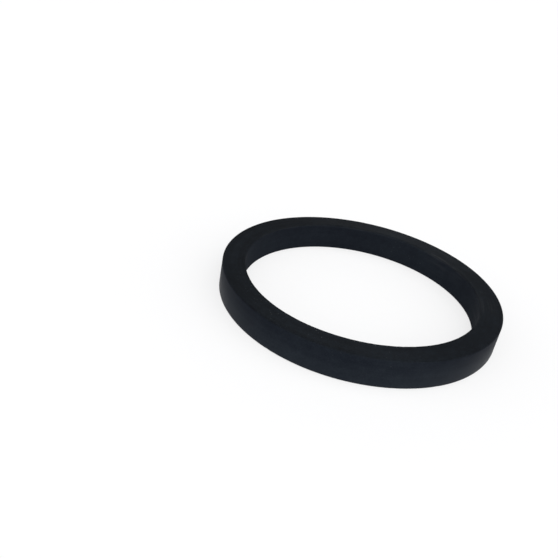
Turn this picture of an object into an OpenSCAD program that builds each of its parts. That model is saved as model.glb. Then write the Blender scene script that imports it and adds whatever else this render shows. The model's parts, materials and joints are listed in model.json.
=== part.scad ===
// Flat ring seal in black rubber, one moulded piece of nearly square section.
// It lies on Z = 0 and its axis is Z. Both flat faces seal, so either may be up.

/* [Ring] */
// Diameter of the hole through the seal
bore_d = 62; // [30:0.5:160]
// Width of the section, measured outwards from the hole
section_w = 6; // [3:0.1:12]
// Thickness of the section, measured along the axis
section_t = 7.5; // [3:0.1:14]

/* [Edges] */
// Radius of the rounding along all four edges of the section
edge_r = 0.4; // [0.1:0.05:1.4]

/* [Hidden] */

// Facets round the ring and round each edge
ring_fn = 180;
edge_fn = 32;

bore_r = bore_d / 2;

// Section of the ring, with its lower inner corner at the origin
module section() {
    translate([edge_r, 0]) square([section_w - 2 * edge_r, section_t]);
    translate([0, edge_r]) square([section_w, section_t - 2 * edge_r]);
    for (x = [edge_r, section_w - edge_r], y = [edge_r, section_t - edge_r])
        translate([x, y]) circle(r = edge_r, $fn = edge_fn);
}

// The seal: the section turned once round the axis, starting at the hole
module seal_ring() {
    color([0.14, 0.15, 0.17])
        rotate_extrude($fn = ring_fn) translate([bore_r, 0]) section();
}

seal_ring();
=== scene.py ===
import json
import math

import bmesh
import bpy
from mathutils import Matrix, Vector, noise


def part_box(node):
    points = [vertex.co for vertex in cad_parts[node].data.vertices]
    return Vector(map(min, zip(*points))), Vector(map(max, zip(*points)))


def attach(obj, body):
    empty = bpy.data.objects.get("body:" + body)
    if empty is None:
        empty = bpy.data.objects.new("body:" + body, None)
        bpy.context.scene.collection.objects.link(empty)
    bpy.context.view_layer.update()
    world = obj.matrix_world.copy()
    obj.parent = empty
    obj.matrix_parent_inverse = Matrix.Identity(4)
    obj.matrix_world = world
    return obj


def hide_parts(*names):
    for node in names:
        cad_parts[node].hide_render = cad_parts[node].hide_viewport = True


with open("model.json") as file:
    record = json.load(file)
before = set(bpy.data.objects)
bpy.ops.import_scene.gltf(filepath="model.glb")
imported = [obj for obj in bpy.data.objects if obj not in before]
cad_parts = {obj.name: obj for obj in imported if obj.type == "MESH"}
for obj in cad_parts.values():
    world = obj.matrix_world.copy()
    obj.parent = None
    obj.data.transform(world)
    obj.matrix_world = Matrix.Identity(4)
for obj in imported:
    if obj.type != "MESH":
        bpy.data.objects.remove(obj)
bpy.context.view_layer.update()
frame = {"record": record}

mm = 0.001

# the ring's real sizes, read off the frame, so that the skin sits exactly on the solid
mounts = {m["name"]: m for m in frame["record"]["mounts"]}
boreRadius = mounts["bore"]["dims"]["r_mm"] * mm
outerRadius = mounts["outer_wall"]["dims"]["r_mm"] * mm
straightWall = mounts["bore"]["dims"]["length_mm"] * mm
ringLow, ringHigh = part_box("seal_ring")
edgeRadius = (ringHigh.z - ringLow.z - straightWall) / 2
midHeight = (ringLow.z + ringHigh.z) / 2
midRadius = (boreRadius + outerRadius) / 2
flatHeight = straightWall / 2                                # from the middle of the section to its roundings
flatWidth = (outerRadius - boreRadius) / 2 - edgeRadius


# nodes

def addNode(tree, kind, values=None, **settings):
    # one node, with its settings and with the values of the sockets that stay unlinked
    node = tree.nodes.new(kind)
    for name, value in settings.items():
        setattr(node, name, value)
    for name, value in (values or {}).items():
        node.inputs[name].default_value = value
    return node


def feed(tree, socket, value):
    # a socket takes a link from another one, or a plain number or colour
    if isinstance(value, bpy.types.NodeSocket):
        tree.links.new(value, socket)
    elif isinstance(value, tuple):
        socket.default_value = (*value, 1.0)
    else:
        socket.default_value = value


def calc(tree, operation, a, b=0.0, clamp=False):
    node = addNode(tree, "ShaderNodeMath", operation=operation, use_clamp=clamp)
    feed(tree, node.inputs[0], a)
    feed(tree, node.inputs[1], b)
    return node.outputs[0]


def product(tree, *factors):
    result = factors[0]
    for factor in factors[1:]:
        result = calc(tree, "MULTIPLY", result, factor)
    return result


def total(tree, *parts):
    result = parts[0]
    for part in parts[1:]:
        result = calc(tree, "ADD", result, part)
    return result


def fade(tree, value, start, end):
    # a smooth step: 0 where value is at start, 1 where it is at end
    limits = {"From Min": min(start, end), "From Max": max(start, end)}
    limits["To Min"], limits["To Max"] = (0.0, 1.0) if end > start else (1.0, 0.0)
    node = addNode(tree, "ShaderNodeMapRange", limits, interpolation_type="SMOOTHSTEP")
    feed(tree, node.inputs["Value"], value)
    return node.outputs["Result"]


def blendColour(tree, factor, a, b):
    node = addNode(tree, "ShaderNodeMix", data_type="RGBA", blend_type="MIX")
    feed(tree, node.inputs["Factor"], factor)
    feed(tree, node.inputs[6], a)
    feed(tree, node.inputs[7], b)
    return node.outputs[2]


def blendValue(tree, factor, a, b):
    node = addNode(tree, "ShaderNodeMix", data_type="FLOAT")
    feed(tree, node.inputs["Factor"], factor)
    feed(tree, node.inputs[2], a)
    feed(tree, node.inputs[3], b)
    return node.outputs[0]


def noiseAt(tree, vector, scale, detail, roughness=0.55):
    node = addNode(tree, "ShaderNodeTexNoise", {"Scale": scale, "Detail": detail, "Roughness": roughness})
    feed(tree, node.inputs["Vector"], vector)
    return node.outputs["Fac"]


# rubber

rubberLook = {
    # one rubber in three tones, each set to how its side is lit and shaded: painted light and shade
    "wallLitColour": (0.0035, 0.0053, 0.0099),   # carbon black, a little blue
    "boreLitColour": (0.0068, 0.0086, 0.0128),
    "faceLitColour": (0.0041, 0.0050, 0.0065),
    "hazeAndSheenColour": (0.0155, 0.0200, 0.0260),   # bloom where the skin is duller, and the colour of the painted sheen and floor reflection
    # pale dust, and the painted highlights of the rub marks and worn edges
    "dustAndHighlightColour": (0.16, 0.165, 0.165),
    "specular": 0.045,
    "brushed": 0.6,                           # the mould was turned, so the gloss runs round the ring
    "outerRoughness": 0.52,
    "boreRoughness": 0.80,
    "faceRoughness": 0.68,
    # bloom: each pattern's share of it, its scale, and the noise values where it starts and where it is full
    "hazeShare": 0.12,
    "hazeScale": 70.0,
    "hazeLimits": (0.42, 0.68),
    "streakShare": 0.12,                      # broad streaks, which run round the ring
    "streakWidth": 1.1 * mm,
    "streakLength": 24.0 * mm,
    "streakLimits": (0.36, 0.66),
    "mottleShare": 0.15,
    "mottleScale": 520.0,
    "mottleLimits": (0.36, 0.68),
    "speckleShare": 0.22,                     # fine enough to melt into one tone a step away
    "speckleScale": 2900.0,
    "speckleLimits": (0.40, 0.68),
    "mottleRough": 0.04,
    "sheenSpotShare": 0.16,                        # the patches named at the end of this list, which paint the face's sheen
    "footReflectionShare": 0.40,                        # the outer wall is paler and smoother towards its foot: the paler part is painted reflection of the white floor
    "footGloss": 0.18,
    "boreFootReflectionShare": 0.12,                    # and the bore is a little paler towards its foot, also painted floor reflection
    # marks that run round the ring
    "markWidth": 0.22 * mm,                   # fine turning marks from the mould
    "markLength": 14.0 * mm,
    "markHeight": 0.010 * mm,
    "markOnWalls": 0.5,
    "rubAndHighlightShare": 0.09,                         # pale streaks where something rubbed along it, placed where the bore's end and the inner edge catch light: partly painted highlight
    "rubLimits": (0.44, 0.68),
    "wearAndHighlightShare": 0.028,                       # edges that had flash are rubbed a little paler, and that pale line also paints the highlight those edges catch
    "wearWidth": 0.25 * mm,                   # how far in from the rounding that reaches
    "breakWidth": 1.2 * mm,                   # the breaks in the rub marks and in the wear
    "breakLength": 9.0 * mm,
    "breakLimits": (0.40, 0.60),
    # skin grain, about 0.3 mm
    "grainScale": 3600.0,
    "grainHeight": 0.010 * mm,
    # specks of dust
    "dustShare": 0.5,
    "dustScale": 1300.0,
    "dustSize": 0.17,
    "dustLimits": (0.42, 0.56),
    "dustRough": 0.3,
    "groupShare": 0.5,                        # loose groups of them all over
    "groupScale": 110.0,
    "groupLimits": (0.52, 0.72),
    # where dust gathers, where pale rub marks partly paint highlights, and where the face's painted sheen
    # lies: turn from the X axis, radius, depth below the top, and reach
    "dustSpots": ((203.0, 31.4 * mm, 0.0, 5.0 * mm), (212.0, 31.4 * mm, 0.0, 5.5 * mm),
                  (221.0, 31.5 * mm, 0.0, 5.5 * mm), (231.0, 31.7 * mm, 0.0, 5.5 * mm),
                  (252.0, 33.0 * mm, 0.0, 5.0 * mm)),
    "rubAndHighlightSpots": ((42.0, 31.6 * mm, 0.0, 7.0 * mm), (28.0, 31.4 * mm, 0.0, 5.0 * mm),
                 (354.0, 31.0 * mm, 4.0 * mm, 9.0 * mm)),
    "sheenSpots": ((250.0, 33.5 * mm, 0.0, 17.0 * mm), (277.0, 33.5 * mm, 0.0, 16.0 * mm),
                   (46.0, 34.5 * mm, 0.0, 16.0 * mm), (68.0, 34.5 * mm, 0.0, 16.0 * mm)),
}


def nearSpots(tree, place, spots):
    # 1 at the middle of a spot, 0 beyond its reach
    found = 0.0
    for turn, radius, depth, reach in spots:
        angle = math.radians(turn)
        middle = (radius * math.cos(angle), radius * math.sin(angle), ringHigh.z - depth)
        away = addNode(tree, "ShaderNodeVectorMath", operation="DISTANCE")
        feed(tree, away.inputs[0], place)
        away.inputs[1].default_value = middle
        found = calc(tree, "MAXIMUM", fade(tree, away.outputs["Value"], reach, 0.0), found)
    return found


def roundRing(tree, radius, x, y, z, width, length):
    # noise drawn out along the ring, with no seam where the turn closes
    at = addNode(tree, "ShaderNodeCombineXYZ")
    for socket, value, size in zip(at.inputs, (radius, x, y), (width, length, length)):
        feed(tree, socket, calc(tree, "DIVIDE", value, size))
    node = addNode(tree, "ShaderNodeTexNoise", noise_dimensions="4D")
    for name, value in (("Scale", 1.0), ("Detail", 2.0), ("Roughness", 0.5)):
        node.inputs[name].default_value = value
    feed(tree, node.inputs["Vector"], at.outputs[0])
    feed(tree, node.inputs["W"], calc(tree, "DIVIDE", z, width))
    return node.outputs["Fac"]


def makeRubber():
    look = rubberLook
    material = bpy.data.materials.new("blackRubber")
    material.use_nodes = True
    tree = material.node_tree
    shader = tree.nodes["Principled BSDF"]
    shader.inputs["Specular IOR Level"].default_value = look["specular"]
    shader.inputs["Anisotropic"].default_value = look["brushed"]
    tangent = addNode(tree, "ShaderNodeTangent", direction_type="RADIAL", axis="Z")
    feed(tree, shader.inputs["Tangent"], tangent.outputs[0])
    place = addNode(tree, "ShaderNodeTexCoord").outputs["Object"]

    # where on the section a point is
    split = addNode(tree, "ShaderNodeSeparateXYZ")
    feed(tree, split.inputs[0], place)
    x, y, z = split.outputs
    radius = calc(tree, "SQRT", total(tree, product(tree, x, x), product(tree, y, y)))
    fromMiddle = calc(tree, "ABSOLUTE", calc(tree, "SUBTRACT", z, midHeight))
    fromCentre = calc(tree, "ABSOLUTE", calc(tree, "SUBTRACT", radius, midRadius))
    onFace = fade(tree, fromMiddle, flatHeight, flatHeight + edgeRadius)
    onBore = fade(tree, radius, midRadius, boreRadius + edgeRadius)
    onOuter = fade(tree, radius, midRadius, outerRadius - edgeRadius)
    nearTop = fade(tree, fromMiddle, flatHeight - look["wearWidth"], flatHeight + edgeRadius / 2)
    nearWall = fade(tree, fromCentre, flatWidth - look["wearWidth"], flatWidth + edgeRadius / 2)
    onEdge = product(tree, nearTop, nearWall)

    # duller patches some centimetres long, streaks along the ring, a fine mottle, a paler foot that is
    # painted floor reflection, and face spots that are painted sheen
    haze = fade(tree, noiseAt(tree, place, look["hazeScale"], detail=4.0), *look["hazeLimits"])
    streak = roundRing(tree, radius, x, y, z, look["streakWidth"], look["streakLength"])
    streak = fade(tree, streak, *look["streakLimits"])
    mottle = fade(tree, noiseAt(tree, place, look["mottleScale"], detail=3.0), *look["mottleLimits"])
    speckle = noiseAt(tree, place, look["speckleScale"], detail=2.0, roughness=0.6)
    speckle = fade(tree, speckle, *look["speckleLimits"])
    # lighter patches on the face: painted sheen
    spots = nearSpots(tree, place, look["sheenSpots"])
    # paler towards the foot of both walls: painted reflection of the white floor
    low = product(tree, fade(tree, z, ringHigh.z, ringLow.z), calc(tree, "SUBTRACT", 1.0, onFace))
    foot = product(tree, low, onOuter)
    dullAndSheen = total(tree,
                 product(tree, haze, look["hazeShare"]),
                 product(tree, streak, look["streakShare"]),
                 product(tree, mottle, look["mottleShare"]),
                 product(tree, speckle, look["speckleShare"]),
                 product(tree, foot, look["footReflectionShare"]),
                 product(tree, low, onBore, look["boreFootReflectionShare"]),
                 product(tree, spots, look["sheenSpotShare"]))
    # each side of the section takes its own tone, set to how it is lit: painted light and shade
    colour = blendColour(tree, onBore, look["wallLitColour"], look["boreLitColour"])
    colour = blendColour(tree, onFace, colour, look["faceLitColour"])
    colour = blendColour(tree, dullAndSheen, colour, look["hazeAndSheenColour"])

    # rub marks: pale broken streaks in a few places, partly painted highlight where the bore's end and the
    # inner edge catch light, and a broken line of wear along two of the edges, partly painted highlight too
    marks = roundRing(tree, radius, x, y, z, look["markWidth"], look["markLength"])
    broken = roundRing(tree, radius, x, y, z, look["breakWidth"], look["breakLength"])
    broken = fade(tree, broken, *look["breakLimits"])
    rubAndHighlightPlaces = nearSpots(tree, place, look["rubAndHighlightSpots"])
    rubAndHighlight = product(tree, rubAndHighlightPlaces, fade(tree, marks, *look["rubLimits"]), broken)
    colour = blendColour(tree, product(tree, rubAndHighlight, look["rubAndHighlightShare"]), colour, look["dustAndHighlightColour"])
    # the inner top and outer bottom edges: a pale line that is partly wear and partly painted highlight
    side = product(tree, calc(tree, "SUBTRACT", radius, midRadius), calc(tree, "SUBTRACT", z, midHeight))
    flashAndHighlightEdges = fade(tree, side, 0.0, -flatWidth * flatHeight / 2)
    wearAndHighlight = product(tree, onEdge, flashAndHighlightEdges, broken)
    colour = blendColour(tree, product(tree, wearAndHighlight, look["wearAndHighlightShare"]), colour, look["dustAndHighlightColour"])

    # specks of dust, in a few loose groups
    specks = addNode(tree, "ShaderNodeTexVoronoi", {"Scale": look["dustScale"], "Randomness": 1.0})
    feed(tree, specks.inputs["Vector"], place)
    group = fade(tree, noiseAt(tree, place, look["groupScale"], detail=2.0), *look["groupLimits"])
    group = product(tree, group, look["groupShare"])
    group = calc(tree, "MAXIMUM", group, nearSpots(tree, place, look["dustSpots"]))
    rare = fade(tree, specks.outputs["Color"], *look["dustLimits"])
    dot = fade(tree, specks.outputs["Distance"], look["dustSize"], look["dustSize"] / 2)
    dust = product(tree, dot, rare, group)
    colour = blendColour(tree, product(tree, dust, look["dustShare"]), colour, look["dustAndHighlightColour"])
    feed(tree, shader.inputs["Base Color"], colour)

    # the bore is dullest, and dull patches and dust take the shine off
    rough = blendValue(tree, onBore, look["outerRoughness"], look["boreRoughness"])
    rough = blendValue(tree, onFace, rough, look["faceRoughness"])
    rough = calc(tree, "SUBTRACT", rough, product(tree, foot, look["footGloss"]))
    rough = total(tree, rough, product(tree, total(tree, mottle, speckle), look["mottleRough"]))
    rough = calc(tree, "ADD", rough, product(tree, dust, look["dustRough"]), clamp=True)
    feed(tree, shader.inputs["Roughness"], rough)

    # the marks and the skin's grain also stand in relief
    cut = product(tree, marks, blendValue(tree, onFace, look["markOnWalls"], 1.0), look["markHeight"])
    grain = product(tree, noiseAt(tree, place, look["grainScale"], detail=2.0), look["grainHeight"])
    bump = addNode(tree, "ShaderNodeBump", {"Strength": 1.0, "Distance": 1.0})
    feed(tree, bump.inputs["Height"], total(tree, cut, grain))
    feed(tree, shader.inputs["Normal"], bump.outputs["Normal"])
    return material


# seal ring

ringShape = {
    "turnSteps": 720,
    "edgeSegments": 6,
    "wallCuts": 11,
    "faceCuts": 9,
    "weldReach": 0.0004 * mm,                # joins the first and the last step of the turn
    "waveHeight": 0.05 * mm,                 # how far soft rubber strays from true
    "waveScale": 45.0,
    "liftShift": Vector((7.3, 1.9, 4.1)),    # so that up and down don't follow in and out
    "nickDepth": 0.045 * mm,                 # where the mould's flash was trimmed off
    "nickScale": 1100.0,
    "unevenScale": 300.0,                    # the nicks come and go along the ring
    "unevenShare": 0.3,
    "nickShare": {"innerHigh": 1.0, "outerLow": 0.8, "innerLow": 0.4, "outerHigh": 0.4},
}


def sectionLoop(bm):
    # the section's outline at y = 0: four corners, each rounded
    corners = [(boreRadius, ringLow.z), (outerRadius, ringLow.z),
               (outerRadius, ringHigh.z), (boreRadius, ringHigh.z)]
    verts = [bm.verts.new((r, 0, z)) for r, z in corners]
    bm.faces.new(verts)
    bmesh.ops.bevel(bm, geom=verts, offset=edgeRadius, offset_type="OFFSET", affect="VERTICES",
                    segments=ringShape["edgeSegments"], profile=0.5, material=-1)
    bmesh.ops.delete(bm, geom=bm.faces[:], context="FACES_ONLY")
    shortest = 3 * edgeRadius                # the four straight sides are longer, a rounding's edges shorter
    for upright, cuts in ((True, ringShape["wallCuts"]), (False, ringShape["faceCuts"])):
        sides = [e for e in bm.edges if e.calc_length() > shortest
                 and (abs(e.verts[0].co.x - e.verts[1].co.x) < edgeRadius / 2) == upright]
        bmesh.ops.subdivide_edges(bm, edges=sides, cuts=cuts)


def softWave(bm):
    # a moulded ring is never quite true: it strays by a few hundredths of a millimetre
    shape = ringShape
    for v in bm.verts:
        out = Vector((v.co.x, v.co.y, 0)).normalized()
        at = v.co * shape["waveScale"]
        v.co += out * noise.noise(at) * shape["waveHeight"]
        lift = noise.noise(at + shape["liftShift"]) * shape["waveHeight"]
        share = (v.co.z - ringLow.z) / (ringHigh.z - ringLow.z)
        v.co.z += min(lift, 0.0) * share     # the foot stays on the floor, and the top never rises


def trimmedEdges(bm):
    # the trimming left the rounded edges slightly uneven, most of all at the two that had flash
    shape = ringShape
    for v in bm.verts:
        out = Vector((v.co.x, v.co.y, 0))
        across, rise = out.length - midRadius, v.co.z - midHeight
        acrossShare = min(max((abs(across) - flatWidth) / edgeRadius, 0.0), 1.0)
        riseShare = min(max((abs(rise) - flatHeight) / edgeRadius, 0.0), 1.0)
        onRounding = min(4 * acrossShare * riseShare, 1.0)     # 0 where it ends, 1 over its middle
        if onRounding == 0.0:
            continue
        name = ("outer" if across > 0 else "inner") + ("High" if rise > 0 else "Low")
        depth = noise.noise(v.co * shape["nickScale"])
        depth += noise.noise(v.co * shape["unevenScale"]) * shape["unevenShare"]
        depth = max(depth, 0.0) * shape["nickDepth"] * shape["nickShare"][name] * onRounding
        inward = -out.normalized() * math.copysign(1.0, across)
        inward.z = -math.copysign(1.0, rise)
        v.co += inward.normalized() * depth


def makeRing(material):
    bm = bmesh.new()
    sectionLoop(bm)
    bmesh.ops.spin(bm, geom=bm.verts[:] + bm.edges[:], cent=(0, 0, 0), axis=(0, 0, 1), angle=math.tau,
                   steps=ringShape["turnSteps"], use_merge=True, use_duplicate=False)
    bmesh.ops.remove_doubles(bm, verts=bm.verts, dist=ringShape["weldReach"])
    bmesh.ops.recalc_face_normals(bm, faces=bm.faces)
    trimmedEdges(bm)
    softWave(bm)
    for face in bm.faces:
        face.smooth = True
    mesh = bpy.data.meshes.new("sealRing")
    bm.to_mesh(mesh)
    bm.free()
    mesh.materials.append(material)
    ring = bpy.data.objects.new("sealRing", mesh)
    bpy.context.scene.collection.objects.link(ring)
    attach(ring, "root")
    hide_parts("seal_ring")
    return ring


# floor, world and light

studio = {
    "floorSize": 12.0,
    "floorGap": 0.02 * mm,
    "floorColour": (0.88, 0.88, 0.89),       # what lights the ring from below
    "seenColour": (0.31, 0.31, 0.313),       # the floor as the picture sees it: part of its colour,
    "seenWhite": 0.68,                       # and the rest of the way to white
    "skyWhite": (1.0, 1.0, 1.0),
    "skyTop": (0.08, 0.083, 0.090),
    "skyBandLow": 23.0,                      # the white band ends between these heights, in degrees
    "skyBandHigh": 28.0,
    # soft suns: strength, spread, height, and turn, where 0 is straight in front of the ring
    "suns": {
        "softLeft": (1.3, 100.0, 45.0, -60.0),
        "softRight": (2.1, 100.0, 50.0, 60.0),
    },
}


def seenDirectly(tree):
    # 1 for what the camera sees, also in a reflection or through glass
    path = addNode(tree, "ShaderNodeLightPath")
    seen = calc(tree, "MAXIMUM", path.outputs["Is Camera Ray"], path.outputs["Is Glossy Ray"])
    return calc(tree, "MAXIMUM", seen, path.outputs["Is Transmission Ray"])


def makeFloor():
    bm = bmesh.new()
    bmesh.ops.create_grid(bm, x_segments=1, y_segments=1, size=studio["floorSize"] / 2,
                          matrix=Matrix.Translation((0, 0, ringLow.z - studio["floorGap"])))
    mesh = bpy.data.meshes.new("floor")
    bm.to_mesh(mesh)
    bm.free()
    floor = bpy.data.objects.new("floor", mesh)
    bpy.context.scene.collection.objects.link(floor)
    material = bpy.data.materials.new("floorPaper")
    material.use_nodes = True
    tree = material.node_tree
    tree.nodes.remove(tree.nodes["Principled BSDF"])
    seen = seenDirectly(tree)
    paper = addNode(tree, "ShaderNodeBsdfDiffuse")
    feed(tree, paper.inputs["Color"], blendColour(tree, seen, studio["floorColour"], studio["seenColour"]))
    white = addNode(tree, "ShaderNodeEmission")
    feed(tree, white.inputs["Color"], studio["skyWhite"])
    feed(tree, white.inputs["Strength"], product(tree, seen, studio["seenWhite"]))
    both = addNode(tree, "ShaderNodeAddShader")
    feed(tree, both.inputs[0], paper.outputs[0])
    feed(tree, both.inputs[1], white.outputs[0])
    feed(tree, tree.nodes["Material Output"].inputs["Surface"], both.outputs[0])
    mesh.materials.append(material)


def makeWorld():
    # white round the horizon, where the picture can see it, and dim above
    world = bpy.data.worlds.new("studioWorld")
    bpy.context.scene.world = world
    world.use_nodes = True
    tree = world.node_tree
    split = addNode(tree, "ShaderNodeSeparateXYZ")
    feed(tree, split.inputs[0], addNode(tree, "ShaderNodeTexCoord").outputs["Generated"])
    low, high = (math.sin(math.radians(studio[name])) for name in ("skyBandLow", "skyBandHigh"))
    sky = blendColour(tree, fade(tree, split.outputs[2], low, high), studio["skyWhite"], studio["skyTop"])
    feed(tree, tree.nodes["Background"].inputs["Color"], sky)


def makeSuns():
    for name, (strength, spread, height, turn) in studio["suns"].items():
        light = bpy.data.lights.new(name, "SUN")
        light.energy = strength
        light.angle = math.radians(spread)
        sun = bpy.data.objects.new(name, light)
        bpy.context.scene.collection.objects.link(sun)
        turn, height = math.radians(turn), math.radians(height)
        flat = math.cos(height)
        towards = Vector((math.sin(turn) * flat, -math.cos(turn) * flat, math.sin(height)))
        sun.rotation_euler = towards.to_track_quat("Z", "Y").to_euler()


# camera: where the photograph was taken from, relative to this ring

cameraPlace = {
    "aimAt": (-21.49 * mm, 3.93 * mm, 0.0),
    "distance": 181.54 * mm,
    "elevation": 28.47,
    "roll": 10.85,
    "lens": 42.81,
    "sensor": 36.0,
    "clipStart": 0.01,
    "clipEnd": 50.0,
}


def makeCamera():
    data = bpy.data.cameras.new("camera")
    data.sensor_width = cameraPlace["sensor"]
    data.lens = cameraPlace["lens"]
    data.clip_start = cameraPlace["clipStart"]
    data.clip_end = cameraPlace["clipEnd"]
    camera = bpy.data.objects.new("camera", data)
    bpy.context.scene.collection.objects.link(camera)
    rise = math.radians(cameraPlace["elevation"])
    back = Vector((0, -math.cos(rise), math.sin(rise)))
    look = (-back).to_track_quat("-Z", "Y").to_matrix()
    roll = Matrix.Rotation(math.radians(cameraPlace["roll"]), 3, "Z")
    place = Vector(cameraPlace["aimAt"]) + back * cameraPlace["distance"]
    camera.matrix_world = Matrix.Translation(place) @ (look @ roll).to_4x4()
    bpy.context.scene.camera = camera


makeCamera()
print("camera placed")
ring = makeRing(makeRubber())
print("ring made:", len(ring.data.polygons), "faces")
makeFloor()
makeWorld()
makeSuns()
bpy.context.scene.view_settings.view_transform = "Standard"
print("studio lit")

bpy.context.view_layer.update()
